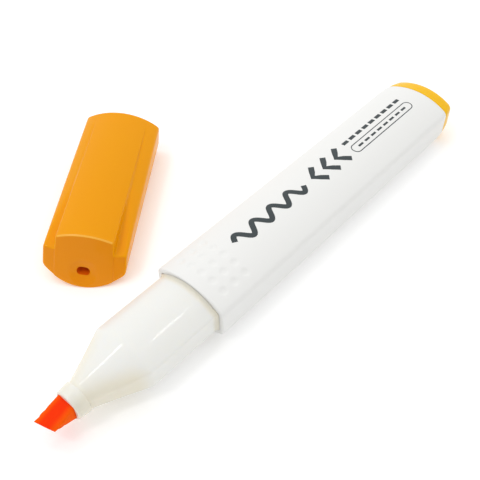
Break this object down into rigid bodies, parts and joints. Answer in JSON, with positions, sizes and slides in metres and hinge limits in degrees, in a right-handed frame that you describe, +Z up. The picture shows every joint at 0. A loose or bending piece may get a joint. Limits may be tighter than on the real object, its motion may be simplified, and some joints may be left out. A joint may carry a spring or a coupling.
{
  "type": "highlighter",
  "caption": "Flat-bodied highlighter with a chisel nib, grip dimples and an end plug, its cap lying off beside it.",
  "frame": {"origin": "middle of the footprint of the pen and its loose cap, on the surface that they lie on", "axes": "+X along the pen's axis from the nib to the rear plug, +Y across the pen towards the loose cap, +Z up"},
  "size_m": [0.1244, 0.0662, 0.0116],
  "materials": {
    "barrel": "satin moulded polypropylene, off-white",
    "front_section": "glossy milky translucent plastic",
    "rear_plug": "smooth moulded plastic, amber",
    "nib": "pressed fibre soaked with orange ink",
    "fibre": "ink-soaked polyester fibre",
    "film": "thin plastic film",
    "cap": "smooth moulded plastic, orange",
    "inner_cap": "soft sealing plastic, deep orange"
  },
  "bodies": {
    "pen": {"barrel": "barrel", "rear_plug": "rear_plug", "front_section": "front_section", "nib": "nib", "ink_reservoir": "fibre", "reservoir_sleeve": "film"},
    "cap": {"cap_shell": "cap", "inner_cap": "inner_cap"}
  },
  "joints": [
    {"name": "cap_push_on", "type": "slide", "parent": "pen", "child": "cap", "axis": [0.8049, 0.5934, 0], "range_m": [0, 0.037]}
  ]
}
